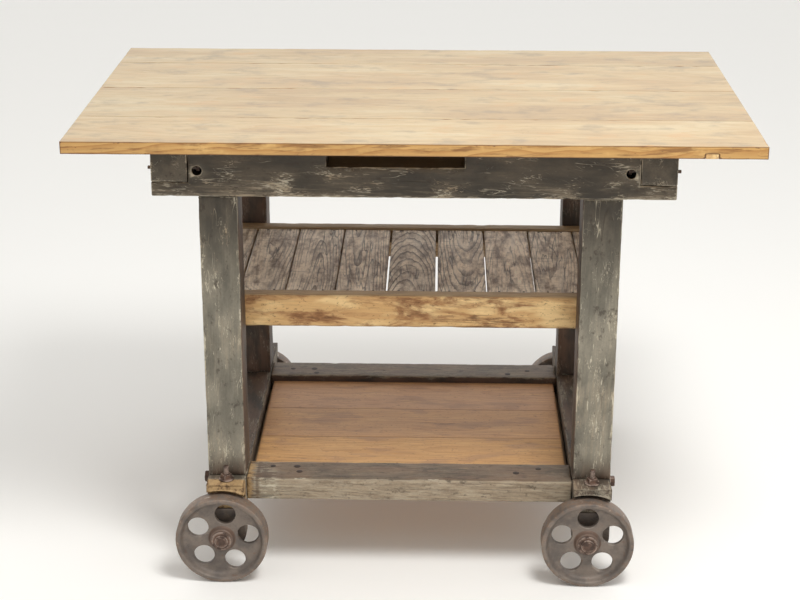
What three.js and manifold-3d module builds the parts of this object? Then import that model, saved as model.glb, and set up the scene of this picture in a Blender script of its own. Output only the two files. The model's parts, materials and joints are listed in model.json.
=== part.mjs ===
// A kitchen island cart: an old timber workbench trolley with a plank worktop, a slatted middle
// shelf, a boarded bottom shelf and four cast-iron wheels that roll along X.
// Millimetres. +X to the right, +Y to the back, +Z up. The floor is at Z = 0.
import * as THREE from "three";
import { mergeVertices } from "three/addons/utils/BufferGeometryUtils.js";
import Module from "manifold-3d";

const wasm = await Module();
wasm.setup();

// ---- driving dimensions ----

const GAP = 0.3; // clearance left between pieces that touch

const TOP_HEIGHT = 900;
const TOP_THICKNESS = 23;
const TOP_HALF_WIDTH = 632;
const TOP_FRONT = -390;
const TOP_BOARD_WIDTHS = [180, 233, 223, 144]; // from the front edge to the back edge
const BATTEN_X = 532;
const BATTEN_WIDTH = 23;
const BATTEN_DEPTH = 9;

const FRAME_HALF_DEPTH = 300; // from the middle to the outer face of a leg
const BASE_X = -6; // the legs and the base stand a little to the left under the worktop
const LEG_X = 357;
const LEG = 74;
const TENON_WIDTH = 25;
const TENON_DEPTH = 40;
const TOP_TENON = 28;
const STUB_TENON = 12;

const BEAM_HALF_LENGTH = 486;
const BEAM_BOTTOM = 772.5;
const BEAM_THICKNESS = 75;
const BEAM_PROUD = 2; // the beams stand this far in front of the legs
const SIDE_RAIL_WIDTH = 68;
const SIDE_RAIL_HEIGHT = 76.5;
const SLOT_LEFT = -160;
const SLOT_RIGHT = 94;
const SLOT_DEPTH = 45;
const POCKET_X = 400;
const POCKET_Z = 822;
const POCKET_RADIUS = 9;
const POCKET_DEPTH = 36;

const SILL_TOP = 200;
const SILL_HEIGHT = 58;
const SILL_OVERHANG_FRONT = 45; // past the front legs
const SILL_OVERHANG_BACK = 109; // past the back legs
const STRETCHER_DEPTH = 77;
const STRETCHER_TOP = 196;
const STRETCHER_HEIGHT = 47;

const PANEL_TOP = 182;
const PANEL_THICKNESS = 20;
const PANEL_HALF_WIDTH = 312;
const PANEL_BOARD_WIDTHS = [143, 145, 150];
const CLEAT = 25;

const SHELF_TOP = 553;
const SHELF_RAIL_HEIGHT = 66;
const SHELF_RAIL_THICKNESS = 29;
const SHELF_HALF_LENGTH = 390;
const SHELF_BOARD_THICKNESS = 21;
const SHELF_BOARD_DROP = 4; // the boards lie this far below the rails' top edges
const SHELF_SEAMS = [-342, -251, -154, -54, 44, 143, 238, 333]; // X of the joints between boards
const SHELF_BOARD_GAPS = [3, 1.5, 2, 4, 4.5, 2.6, 2.6, 2]; // width of each of those joints
const LEDGER = 20;

const WHEEL_RADIUS = 90;
const WHEEL_WIDTH = 38;
const WHEEL_SHIFT_X = -8; // the axles sit this far to the left of the sills' middles
const WHEEL_FACE_FRONT = 68; // the front wheels' outer faces stand this far past the legs
const WHEEL_FACE_BACK = 132; // and the back wheels' this far
const RIM_THICKNESS = 11;
const WEB_RECESS = 15;
const WEB_THICKNESS = 10;
const HUB_RADIUS = 24;
const HUB_INSET = 4; // the hub's outer end lies this far inside the rim's outer face
const HOLE_COUNT = 5;
const HOLE_RADIUS = 20.5;
const HOLE_CIRCLE = 52;
const AXLE_RADIUS = 10;
const AXLE_CLEARANCE = 0.4;
const AXLE_HEAD_RADIUS = 15.5;
const AXLE_HEAD_LENGTH = 9;
const AXLE_HEAD_CHAMFER = 2.5;
const HANGER_THICKNESS = 28;
const ARCH_RADIUS = 98; // the arched cut in a sill's end, over the wheel

const HANGER_BOLT_INSET = 11; // from the hanger's outer face to its bolt
const HANGER_BOLT_REACH = 23; // how deep the bolt runs into the hanger
const HANGER_BOLT_RISE = 30; // how far it stands above the sill
const BOLT_RADIUS = 5;
const BOLT_CLEARANCE = 0.4;
const TIE_BOLT_Z = 180;
const TIE_BOLT_REACH = 60; // how deep a base bolt runs into a stretcher
const NUT_WIDTH = 17;
const NUT_HEIGHT = 9;
const WASHER_RADIUS = 15;
const WASHER_THICKNESS = 3;
const ROD_RADIUS = 3.5;
const ROD_PROTRUSION = 8;
const ROD_INSET = 22; // from a beam's outer face to the tie rod
const ROD_NUT_WIDTH = 11;
const ROD_NUT_HEIGHT = 6;

const SMALL_SIDES = 12; // facets round a bolt
const HOLE_SIDES = 16; // facets round a hole in a wheel
const AXLE_SIDES = 24; // facets round an axle, its bore and a beam's pocket
const WHEEL_SIDES = 44; // facets round a wheel

// Each side's name, its sign along X, and how far its wheels are turned at rest: a whole number
// of facets, so that every wheel stands on a corner of its outline.
const SIDES = [
  ["left", -1, (2 * Math.PI) / WHEEL_SIDES],
  ["right", 1, 0],
];

// ---- derived places ----

const TOP_UNDERSIDE = TOP_HEIGHT - TOP_THICKNESS;
const BEAM_TOP = TOP_UNDERSIDE - GAP;
const BEAM_HEIGHT = BEAM_TOP - BEAM_BOTTOM;
const BEAM_OUTER = FRAME_HALF_DEPTH + BEAM_PROUD;
const LEG_Y = FRAME_HALF_DEPTH - LEG / 2;
const LEG_HEIGHT = BEAM_BOTTOM - SILL_TOP;
const AXLE_HEAD_PROUD = AXLE_HEAD_LENGTH + GAP - HUB_INSET; // of the rim's outer face
const BACK_END = FRAME_HALF_DEPTH + WHEEL_FACE_BACK + AXLE_HEAD_PROUD;
const CENTRE_Y = (TOP_FRONT + BACK_END) / 2; // middle of the whole cart from front to back

// ---- solids ----

// A closed geometry as a solid that can be joined and cut.
function solidOf(geometry) {
  geometry.deleteAttribute("normal");
  geometry.deleteAttribute("uv");
  const merged = mergeVertices(geometry, 1e-4);
  return new wasm.Manifold(
    new wasm.Mesh({
      numProp: 3,
      vertProperties: merged.attributes.position.array,
      triVerts: new Uint32Array(merged.index.array),
    }),
  );
}

function geometryOf(solid) {
  const mesh = solid.getMesh();
  const geometry = new THREE.BufferGeometry();
  geometry.setAttribute("position", new THREE.BufferAttribute(mesh.vertProperties, 3));
  geometry.setIndex(new THREE.BufferAttribute(mesh.triVerts, 1));
  geometry.computeVertexNormals();
  return geometry;
}

// A block between two corners.
function block([x0, y0, z0], [x1, y1, z1]) {
  const geometry = new THREE.BoxGeometry(x1 - x0, y1 - y0, z1 - z0);
  geometry.translate((x0 + x1) / 2, (y0 + y1) / 2, (z0 + z1) / 2);
  return solidOf(geometry);
}

// A round bar along the axis "x", "y" or "z", between two places on it.
// `at` gives the other two coordinates, in the order x, y, z.
function bar(axis, radius, from, to, [a, b], sides = SMALL_SIDES) {
  const geometry = new THREE.CylinderGeometry(radius, radius, to - from, sides);
  const middle = (from + to) / 2;
  if (axis === "x") geometry.rotateZ(Math.PI / 2).translate(middle, a, b);
  if (axis === "y") geometry.translate(a, middle, b);
  if (axis === "z") geometry.rotateX(Math.PI / 2).translate(a, b, middle);
  return solidOf(geometry);
}

// A profile of [radius, y] points turned about the Y axis.
function turned(points, sides) {
  const profile = points.map(([r, y]) => new THREE.Vector2(r, y));
  return solidOf(new THREE.LatheGeometry(profile, sides));
}

// ---- materials and groups ----

// What each finish looks like; every mesh has a material of its own.
const FINISHES = {
  worktop: { color: 0xd2b184, roughness: 0.55, metalness: 0 },
  paint: { color: 0x5f5e55, roughness: 0.7, metalness: 0 },
  honey: { color: 0xc79a62, roughness: 0.6, metalness: 0 },
  grey_boards: { color: 0x7a6a5b, roughness: 0.75, metalness: 0 },
  warm_boards: { color: 0xab8055, roughness: 0.6, metalness: 0 },
  iron: { color: 0x6a605a, roughness: 0.5, metalness: 0.7 },
  rusty: { color: 0x6b4a38, roughness: 0.7, metalness: 0.5 },
};

// A group inside another, at a place.
function groupIn(parent, x = 0, y = 0, z = 0) {
  const group = new THREE.Group();
  group.position.set(x, y, z);
  parent.add(group);
  return group;
}

// The front and back halves of a group. What goes into the back half is built as for the
// front and stands mirrored, behind Y = 0.
function halvesOf(parent) {
  const back = groupIn(parent);
  back.scale.y = -1;
  return [
    ["front", groupIn(parent)],
    ["back", back],
  ];
}

function add(parent, name, finish, solid, [x, y, z] = [0, 0, 0]) {
  const mesh = new THREE.Mesh(geometryOf(solid), new THREE.MeshStandardMaterial(FINISHES[finish]));
  mesh.name = name;
  mesh.position.set(x, y, z);
  parent.add(mesh);
  return mesh;
}

// ---- worktop ----

// Four boards along X, from the worktop's underside up. A batten lies in a groove across their
// undersides near each end; the right one shows at the front edge, and the left one stops
// behind the front board.
function addWorktop(worktop) {
  const halfGroove = BATTEN_WIDTH / 2 + GAP;
  const back = TOP_FRONT + TOP_BOARD_WIDTHS.reduce((sum, width) => sum + width, 0);
  const groove = (x, from) =>
    block([x - halfGroove, from, -1], [x + halfGroove, back + 1, BATTEN_DEPTH + GAP]);
  const leftFrom = TOP_FRONT + TOP_BOARD_WIDTHS[0] + 1;
  const rightGroove = groove(BATTEN_X, TOP_FRONT - 1);
  const leftGroove = groove(-BATTEN_X, leftFrom);
  let y = TOP_FRONT;
  TOP_BOARD_WIDTHS.forEach((width, i) => {
    const low = [-TOP_HALF_WIDTH, y, 0];
    const high = [TOP_HALF_WIDTH, y + width - GAP, TOP_THICKNESS];
    const board = block(low, high).subtract(rightGroove).subtract(leftGroove);
    add(worktop, `top_board_${i + 1}`, "worktop", board);
    y += width;
  });
  const batten = (from) =>
    block([-BATTEN_WIDTH / 2, from, 0], [BATTEN_WIDTH / 2, back - GAP, BATTEN_DEPTH]);
  add(worktop, "top_batten_left", "honey", batten(leftFrom + GAP), [-BATTEN_X, 0, 0]);
  add(worktop, "top_batten_right", "honey", batten(TOP_FRONT), [BATTEN_X, 0, 0]);
}

// ---- top frame ----

// A beam along X, from its outer lower edge back and up, with a mortise over each leg, a half
// lap at each end for a side rail, and in its outer face a round pocket beside each lap, where
// a tie rod's nut sits.
function beam() {
  let solid = block([-BEAM_HALF_LENGTH, 0, 0], [BEAM_HALF_LENGTH, BEAM_THICKNESS, BEAM_HEIGHT]);
  const legY = BEAM_OUTER - LEG_Y;
  const lapZ = BEAM_HEIGHT - SIDE_RAIL_HEIGHT - GAP;
  const pocketZ = POCKET_Z - BEAM_BOTTOM;
  for (const [, side] of SIDES) {
    const lapX = side * (BEAM_HALF_LENGTH - SIDE_RAIL_WIDTH - GAP);
    const endX = side * (BEAM_HALF_LENGTH + 1);
    const lap = block(
      [Math.min(lapX, endX), -1, lapZ],
      [Math.max(lapX, endX), BEAM_THICKNESS + 1, BEAM_HEIGHT + 1],
    );
    const legX = BASE_X + side * LEG_X;
    const mortise = block(
      [legX - TENON_WIDTH / 2 - GAP, legY - TENON_DEPTH / 2 - GAP, -1],
      [legX + TENON_WIDTH / 2 + GAP, legY + TENON_DEPTH / 2 + GAP, TOP_TENON],
    );
    const pocketX = side * POCKET_X;
    const pocket = bar("y", POCKET_RADIUS, -1, POCKET_DEPTH, [pocketX, pocketZ], AXLE_SIDES);
    const ends = [pocketX, side * BEAM_HALF_LENGTH].sort((a, b) => a - b);
    const rodHole = bar("x", ROD_RADIUS + BOLT_CLEARANCE, ...ends, [ROD_INSET, pocketZ]);
    solid = solid.subtract(lap).subtract(mortise).subtract(pocket).subtract(rodHole);
  }
  return solid;
}

// A side rail on its own axis, from one beam's outer face to the other's, and down to its
// lower edge, with a hole for each tie rod.
function sideRail() {
  const half = SIDE_RAIL_WIDTH / 2;
  const holeZ = POCKET_Z - (BEAM_TOP - SIDE_RAIL_HEIGHT);
  let solid = block([-half, -BEAM_OUTER, 0], [half, BEAM_OUTER, SIDE_RAIL_HEIGHT]);
  for (const y of [ROD_INSET - BEAM_OUTER, BEAM_OUTER - ROD_INSET]) {
    const hole = bar("x", ROD_RADIUS + BOLT_CLEARANCE, -half - 1, half + 1, [y, holeZ]);
    solid = solid.subtract(hole);
  }
  return solid;
}

// A rod through a side rail and into the beam, from the middle of the square nut in the
// beam's pocket outwards.
function topTieRod(side) {
  const far = side * (BEAM_HALF_LENGTH + ROD_PROTRUSION - POCKET_X);
  const rod = bar("x", ROD_RADIUS, Math.min(far, 0), Math.max(far, 0), [0, 0]);
  const half = ROD_NUT_WIDTH / 2;
  const nut = block([-ROD_NUT_HEIGHT / 2, -half, -half], [ROD_NUT_HEIGHT / 2, half, half]);
  return rod.add(nut);
}

function addTopFrame(frame) {
  const slot = block(
    [SLOT_LEFT, -1, BEAM_HEIGHT - SLOT_DEPTH],
    [SLOT_RIGHT, BEAM_THICKNESS + 1, BEAM_HEIGHT + 1],
  );
  const [[, front], [, back]] = halvesOf(frame);
  const beamAt = [0, -BEAM_OUTER, BEAM_BOTTOM];
  add(front, "beam_front", "paint", beam().subtract(slot), beamAt);
  add(back, "beam_back", "paint", beam(), beamAt);
  for (const [sideName, side] of SIDES) {
    const railX = side * (BEAM_HALF_LENGTH - SIDE_RAIL_WIDTH / 2);
    const railAt = [railX, 0, BEAM_TOP - SIDE_RAIL_HEIGHT];
    add(frame, `side_rail_${sideName}`, "paint", sideRail(), railAt);
    const rodAt = [side * POCKET_X, ROD_INSET - BEAM_OUTER, POCKET_Z];
    add(front, `top_tie_rod_front_${sideName}`, "rusty", topTieRod(side), rodAt);
    add(back, `top_tie_rod_back_${sideName}`, "rusty", topTieRod(side), rodAt);
  }
}

// ---- legs ----

// A square post on its own axis, standing at Z = 0, with a tenon into the beam above and a
// stub tenon into the sill below.
function leg() {
  const post = block([-LEG / 2, -LEG / 2, GAP], [LEG / 2, LEG / 2, LEG_HEIGHT - GAP]);
  const tenon = block(
    [-TENON_WIDTH / 2, -TENON_DEPTH / 2, GAP - STUB_TENON],
    [TENON_WIDTH / 2, TENON_DEPTH / 2, LEG_HEIGHT + TOP_TENON - GAP],
  );
  return post.add(tenon);
}

// ---- base ----

// What is cut from a sill at its front end, or at its back end once turned round:
// the arch over the wheel, the stub mortise, the hanger bolt's hole and the tie bolt's hole.
// `end` is -1 for the front and 1 for the back.
function sillCuts(end, overhang, wheelFace) {
  const span = (a, b) => [end * a, end * b].sort((p, q) => p - q);
  const hangerY = hangerFace(wheelFace);
  const archZ = WHEEL_RADIUS - SILL_TOP;
  const archSpan = span(hangerY, FRAME_HALF_DEPTH + overhang + 1);
  const arch = bar("y", ARCH_RADIUS, ...archSpan, [WHEEL_SHIFT_X, archZ], WHEEL_SIDES);
  const mortiseSpan = span(LEG_Y - TENON_DEPTH / 2 - GAP, LEG_Y + TENON_DEPTH / 2 + GAP);
  const mortise = block(
    [-TENON_WIDTH / 2 - GAP, mortiseSpan[0], -STUB_TENON],
    [TENON_WIDTH / 2 + GAP, mortiseSpan[1], 1],
  );
  const hole = BOLT_RADIUS + BOLT_CLEARANCE;
  const boltY = end * (hangerY - HANGER_BOLT_INSET);
  const upright = bar("z", hole, -SILL_HEIGHT - 1, 1, [0, boltY]);
  const across = bar("x", hole, -LEG, LEG, [end * LEG_Y, TIE_BOLT_Z - SILL_TOP]);
  return arch.add(mortise).add(upright).add(across);
}

// A sill along Y, its top face at Z = 0.
function sill() {
  const body = block(
    [-LEG / 2, -FRAME_HALF_DEPTH - SILL_OVERHANG_FRONT, -SILL_HEIGHT],
    [LEG / 2, FRAME_HALF_DEPTH + SILL_OVERHANG_BACK, 0],
  );
  return body
    .subtract(sillCuts(-1, SILL_OVERHANG_FRONT, WHEEL_FACE_FRONT))
    .subtract(sillCuts(1, SILL_OVERHANG_BACK, WHEEL_FACE_BACK));
}

// A stretcher lies flat between the sills, from its outer upper edge back and down, with a
// hole in each end for a tie bolt.
function stretcher() {
  const half = LEG_X - LEG / 2 - GAP;
  let solid = block([-half, 0, -STRETCHER_HEIGHT], [half, STRETCHER_DEPTH, 0]);
  for (const [, side] of SIDES) {
    const ends = [half + 1, half - TIE_BOLT_REACH - GAP].map((x) => side * x);
    const at = [LEG / 2, TIE_BOLT_Z - STRETCHER_TOP];
    const hole = bar("x", BOLT_RADIUS + BOLT_CLEARANCE, ...ends.sort((a, b) => a - b), at);
    solid = solid.subtract(hole);
  }
  return solid;
}

// A square-headed bolt with a washer, whose washer bears on the plane X = 0, a gap away, with
// its shank running inwards through the sill and into a stretcher's end.
function baseTieBolt(side) {
  const span = (a, b) => [side * a, side * b].sort((p, q) => p - q);
  const washerOuter = GAP + WASHER_THICKNESS;
  const shank = bar("x", BOLT_RADIUS, ...span(-LEG - TIE_BOLT_REACH, washerOuter), [0, 0]);
  const washer = bar("x", WASHER_RADIUS, ...span(GAP, washerOuter), [0, 0]);
  const [x0, x1] = span(washerOuter, washerOuter + NUT_HEIGHT);
  const half = NUT_WIDTH / 2;
  const head = block([x0, -half, -half], [x1, half, half]);
  return shank.add(washer).add(head);
}

function addBase(base) {
  const halves = halvesOf(base);
  for (const [sideName, side] of SIDES) {
    add(base, `sill_${sideName}`, "paint", sill(), [side * LEG_X, 0, SILL_TOP]);
  }
  for (const [endName, half] of halves) {
    for (const [sideName, side] of SIDES) {
      const x = side * LEG_X;
      add(half, `leg_${endName}_${sideName}`, "paint", leg(), [x, -LEG_Y, SILL_TOP]);
      const boltAt = [x + (side * LEG) / 2, -LEG_Y, TIE_BOLT_Z];
      add(half, `base_tie_bolt_${endName}_${sideName}`, "rusty", baseTieBolt(side), boltAt);
    }
    const stretcherAt = [0, -FRAME_HALF_DEPTH, STRETCHER_TOP];
    add(half, `stretcher_${endName}`, "paint", stretcher(), stretcherAt);
  }
}

// Three boards along X between the stretchers, on a cleat along each sill's inner face.
function addBottomPanel(base) {
  const inner = FRAME_HALF_DEPTH - STRETCHER_DEPTH;
  const boardsDepth = PANEL_BOARD_WIDTHS.reduce((sum, width) => sum + width, 0);
  const underside = PANEL_TOP - PANEL_THICKNESS;
  let y = inner - GAP - boardsDepth;
  PANEL_BOARD_WIDTHS.forEach((width, i) => {
    const board = block(
      [-PANEL_HALF_WIDTH, 0, 0],
      [PANEL_HALF_WIDTH, width - GAP, PANEL_THICKNESS],
    );
    add(base, `bottom_board_${i + 1}`, "warm_boards", board, [0, y, underside]);
    y += width;
  });
  const sillBottom = SILL_TOP - SILL_HEIGHT;
  const cleatX = LEG_X - LEG / 2 - GAP - CLEAT / 2;
  for (const [sideName, side] of SIDES) {
    const cleat = block(
      [-CLEAT / 2, GAP - inner, 0],
      [CLEAT / 2, inner - GAP, underside - GAP - sillBottom],
    );
    add(base, `bottom_cleat_${sideName}`, "honey", cleat, [side * cleatX, 0, sillBottom]);
  }
}

// ---- middle shelf ----

// Two rails on the legs' inner faces, a ledger along each, and boards across the ledgers.
function addShelf(base) {
  const railOuter = FRAME_HALF_DEPTH - LEG - GAP;
  const railInner = railOuter - SHELF_RAIL_THICKNESS;
  const half = SHELF_HALF_LENGTH;
  const boardTop = SHELF_TOP - SHELF_BOARD_DROP;
  const boardUnderside = boardTop - SHELF_BOARD_THICKNESS;
  for (const [endName, group] of halvesOf(base)) {
    const rail = block([-half, 0, -SHELF_RAIL_HEIGHT], [half, SHELF_RAIL_THICKNESS, 0]);
    add(group, `shelf_rail_${endName}`, "honey", rail, [0, -railOuter, SHELF_TOP]);
    const ledger = block([-half, GAP, -LEDGER], [half, GAP + LEDGER, 0]);
    const ledgerAt = [0, -railInner, boardUnderside - GAP];
    add(group, `shelf_ledger_${endName}`, "honey", ledger, ledgerAt);
  }
  const seams = SHELF_SEAMS.map((x) => x - BASE_X);
  const lefts = [-half, ...seams.map((x, i) => x + SHELF_BOARD_GAPS[i] / 2)];
  const rights = [...seams.map((x, i) => x - SHELF_BOARD_GAPS[i] / 2), half];
  lefts.forEach((left, i) => {
    const board = block(
      [0, GAP - railInner, 0],
      [rights[i] - left, railInner - GAP, SHELF_BOARD_THICKNESS],
    );
    add(base, `shelf_board_${i + 1}`, "grey_boards", board, [left, 0, boardUnderside]);
  });
}

// ---- wheels ----

// How far a hanger's outer face, behind its wheel, is from the cart's middle.
function hangerFace(wheelFace) {
  return FRAME_HALF_DEPTH + wheelFace - WHEEL_WIDTH - 2;
}

// A cast wheel on the Y axis with its outer face at Y = 0: rim, recessed web with round
// holes, and a hub that reaches back almost to the hanger.
function wheel() {
  const rimInner = WHEEL_RADIUS - RIM_THICKNESS;
  const hubEnd = WHEEL_WIDTH + 1.5;
  const bore = AXLE_RADIUS + AXLE_CLEARANCE;
  const profile = [
    [bore, HUB_INSET],
    [HUB_RADIUS, HUB_INSET],
    [HUB_RADIUS, WEB_RECESS],
    [rimInner, WEB_RECESS],
    [rimInner, 0],
    [WHEEL_RADIUS, 0],
    [WHEEL_RADIUS, WHEEL_WIDTH],
    [rimInner, WHEEL_WIDTH],
    [rimInner, WEB_RECESS + WEB_THICKNESS],
    [HUB_RADIUS, WEB_RECESS + WEB_THICKNESS],
    [HUB_RADIUS, hubEnd],
    [bore, hubEnd],
    [bore, HUB_INSET],
  ];
  let solid = turned(profile, WHEEL_SIDES);
  for (let i = 0; i < HOLE_COUNT; i++) {
    const angle = (i * 2 * Math.PI) / HOLE_COUNT;
    const at = [HOLE_CIRCLE * Math.sin(angle), HOLE_CIRCLE * Math.cos(angle)];
    solid = solid.subtract(bar("y", HOLE_RADIUS, 0, WHEEL_WIDTH, at, HOLE_SIDES));
  }
  return solid;
}

// A fixed pin with a chamfered head outside the hub, its shank running into the hanger.
function axle() {
  const headBack = HUB_INSET - GAP;
  const headFront = -AXLE_HEAD_PROUD;
  const shankEnd = WHEEL_WIDTH + 2 + HANGER_THICKNESS - GAP;
  const profile = [
    [0, headFront],
    [AXLE_HEAD_RADIUS - AXLE_HEAD_CHAMFER, headFront],
    [AXLE_HEAD_RADIUS, headFront + AXLE_HEAD_CHAMFER],
    [AXLE_HEAD_RADIUS, headBack],
    [AXLE_RADIUS, headBack],
    [AXLE_RADIUS, shankEnd],
    [0, shankEnd],
  ];
  return turned(profile, AXLE_SIDES);
}

// The iron block behind a wheel, its outer face at Y = 0 and its round end at the axle's
// height: as wide as the sill, and bored for the axle and the bolt.
function hanger() {
  const half = LEG / 2;
  const top = SILL_TOP - SILL_HEIGHT - GAP - WHEEL_RADIUS;
  const outline = new THREE.Shape();
  outline.moveTo(half, top);
  outline.lineTo(-half, top);
  outline.absarc(0, 0, half, Math.PI, 2 * Math.PI, false);
  outline.closePath();
  const extrusion = { depth: HANGER_THICKNESS, bevelEnabled: false, curveSegments: SMALL_SIDES };
  const geometry = new THREE.ExtrudeGeometry(outline, extrusion);
  geometry.rotateX(Math.PI / 2).translate(0, HANGER_THICKNESS, 0);
  const axleAt = [WHEEL_SHIFT_X, 0];
  const bore = bar("y", AXLE_RADIUS + GAP, -1, HANGER_THICKNESS + 1, axleAt, AXLE_SIDES);
  const boltAt = [0, HANGER_BOLT_INSET];
  const boltEnd = top - HANGER_BOLT_REACH - GAP;
  const boltHole = bar("z", BOLT_RADIUS + BOLT_CLEARANCE, boltEnd, top + 1, boltAt);
  return solidOf(geometry).subtract(bore).subtract(boltHole);
}

// The upright stud through a sill into a hanger, with a washer and a square nut on the sill's
// top face, which is at Z = 0.
function hangerBolt() {
  const nutFrom = GAP + WASHER_THICKNESS;
  const half = NUT_WIDTH / 2;
  const nut = block([-half, -half, nutFrom], [half, half, nutFrom + NUT_HEIGHT]);
  const low = -SILL_HEIGHT - GAP - HANGER_BOLT_REACH;
  return bar("z", BOLT_RADIUS, low, HANGER_BOLT_RISE, [0, 0])
    .add(bar("z", WASHER_RADIUS, GAP, nutFrom, [0, 0]))
    .add(nut);
}

function addWheels(base) {
  const wheelFaces = { front: WHEEL_FACE_FRONT, back: WHEEL_FACE_BACK };
  for (const [endName, half] of halvesOf(base)) {
    const wheelFace = wheelFaces[endName];
    const faceY = -FRAME_HALF_DEPTH - wheelFace;
    const hangerY = -hangerFace(wheelFace);
    for (const [sideName, side, firstHole] of SIDES) {
      const name = `${endName}_${sideName}`;
      const x = side * LEG_X;
      const corner = groupIn(half, x, 0, WHEEL_RADIUS);
      const onAxle = groupIn(corner, WHEEL_SHIFT_X, faceY, 0);
      add(onAxle, `wheel_${name}`, "iron", wheel()).rotation.y = firstHole;
      add(onAxle, `axle_${name}`, "rusty", axle());
      add(corner, `hanger_${name}`, "iron", hanger(), [0, hangerY, 0]);
      const boltAt = [0, hangerY + HANGER_BOLT_INSET, SILL_TOP - WHEEL_RADIUS];
      add(corner, `hanger_bolt_${name}`, "rusty", hangerBolt(), boltAt);
    }
  }
}

const cart = new THREE.Group();
cart.position.y = -CENTRE_Y;
addWorktop(groupIn(cart, 0, 0, TOP_UNDERSIDE));
addTopFrame(groupIn(cart));
const base = groupIn(cart, BASE_X);
addBase(base);
addBottomPanel(base);
addShelf(base);
addWheels(base);

export default cart;
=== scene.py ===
"""The looks of a kitchen island cart made from an old timber trolley, built round its CAD frame.

Metres, +X to the right, +Y to the back, +Z up. A name that ends in _MM is in millimetres, which is
also the unit of the "grain" and "edge" attributes that the materials read.
"""

import json
import math
import random

import bmesh
import bpy
import numpy as np
from mathutils import Matrix, Vector, noise

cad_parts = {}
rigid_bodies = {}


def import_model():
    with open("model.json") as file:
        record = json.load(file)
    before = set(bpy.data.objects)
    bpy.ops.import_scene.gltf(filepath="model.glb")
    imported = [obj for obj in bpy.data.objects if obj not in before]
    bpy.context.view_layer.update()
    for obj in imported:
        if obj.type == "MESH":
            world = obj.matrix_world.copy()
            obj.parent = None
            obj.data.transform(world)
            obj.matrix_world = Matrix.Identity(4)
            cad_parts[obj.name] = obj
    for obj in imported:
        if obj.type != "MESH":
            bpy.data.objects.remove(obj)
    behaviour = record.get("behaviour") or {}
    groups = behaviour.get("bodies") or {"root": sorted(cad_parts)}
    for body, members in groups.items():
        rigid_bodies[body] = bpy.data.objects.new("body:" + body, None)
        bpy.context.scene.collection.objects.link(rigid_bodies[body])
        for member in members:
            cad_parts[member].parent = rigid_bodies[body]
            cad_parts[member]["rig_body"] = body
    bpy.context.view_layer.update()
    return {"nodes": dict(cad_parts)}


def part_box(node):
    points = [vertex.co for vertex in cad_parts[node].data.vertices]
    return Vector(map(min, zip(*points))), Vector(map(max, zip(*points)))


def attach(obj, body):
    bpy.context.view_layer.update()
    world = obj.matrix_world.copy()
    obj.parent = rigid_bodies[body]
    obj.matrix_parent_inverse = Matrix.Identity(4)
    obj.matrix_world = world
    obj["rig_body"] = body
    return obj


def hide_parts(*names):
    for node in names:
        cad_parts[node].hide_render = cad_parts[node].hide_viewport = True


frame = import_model()

MM = 0.001
SHARP_ANGLE = math.radians(40)
SMOOTH_ANGLE = math.radians(42)  # a piece's faces are shaded as one up to this angle

# Distances from a face's edge at which a worn solid's mesh has a line, so that wear has points to move,
# and how far apart the lines are elsewhere.
EDGE_LINES = [4 * MM, 9 * MM, 22 * MM]
TIMBER_STEP = 12 * MM
HANGER_STEP = 10 * MM
EDGE_REACH_MM = 30.0  # the "edge" attribute stops growing this far from an edge
WEAR_REACH = 9 * MM

# Wheels, as the CAD has them, but for the holes' flare and the number of segments.
RIM = 11 * MM
WEB_RECESS = 15 * MM
WEB = 10 * MM
HUB_RADIUS = 24 * MM
HUB_INSET = 4 * MM
BORE_RADIUS = 10.4 * MM
HOLE_COUNT = 5
HOLE_RADIUS = 20.5 * MM
HOLE_CIRCLE = 52 * MM
HOLE_FLARE = 1.3 * MM
FIRST_HOLE = {"left": 2 * math.pi / 44, "right": 0.0}
WHEEL_SEGMENTS = 112

# Fasteners, as the CAD has them, and the thread, which is only here.
WASHER = 3 * MM
NUT_HEIGHT = 9 * MM
NUT_HALF = 8.5 * MM
STUD_RADIUS = 5 * MM
ROD_NUT_HALF = 5.5 * MM
ROD_NUT_HEIGHT = 6 * MM
ROD_RADIUS = 3.5 * MM
GAP = 0.3 * MM
THREAD_PITCH = 1.9 * MM
THREAD_DEPTH = 0.6 * MM

# The slot in the front beam, as the CAD has it, and how far its floor rises to the back.
SLOT_LEFT = -160 * MM
SLOT_RIGHT = 94 * MM
SLOT_DEPTH = 45 * MM
SLOT_RISE = 4.5 * MM
SLOT_BLEND = 20 * MM  # how far above and below the floor the wood moves with it
SLOT_MARGIN = 3 * MM

# The tie rods' pockets in a beam, as shares of its length and height, and the less worn ring round them.
POCKET_ALONG = 0.088
POCKET_UP = 0.47
POCKET_RING_MM = 22

AXES = {"x": 0, "y": 1, "z": 2}
CORNERS = [(end, side) for end in ("front", "back") for side in ("left", "right")]
OUTWARD = {"front": -1, "back": 1, "left": -1, "right": 1}  # along Y for the ends, along X for the sides


def srgb(red, green, blue):
    """A colour given as 0 to 255 display values, as the linear values that the nodes take."""
    return tuple(((c / 255 + 0.055) / 1.055) ** 2.4 if c > 10 else c / 3294.6 for c in (red, green, blue))


# ---- shader nodes written as expressions ----


class Signal:
    """A node's output, which takes part in arithmetic as a number does."""

    def __init__(self, nodes, socket):
        self.nodes, self.socket = nodes, socket

    def __add__(self, other):
        return self.nodes.math("ADD", self, other)

    def __sub__(self, other):
        return self.nodes.math("SUBTRACT", self, other)

    def __rsub__(self, other):
        return self.nodes.math("SUBTRACT", other, self)

    def __mul__(self, other):
        return self.nodes.math("MULTIPLY", self, other)

    def __truediv__(self, other):
        return self.nodes.math("DIVIDE", self, other)

    def __pow__(self, other):
        return self.nodes.math("POWER", self, other)

    __radd__ = __add__
    __rmul__ = __mul__


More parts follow.
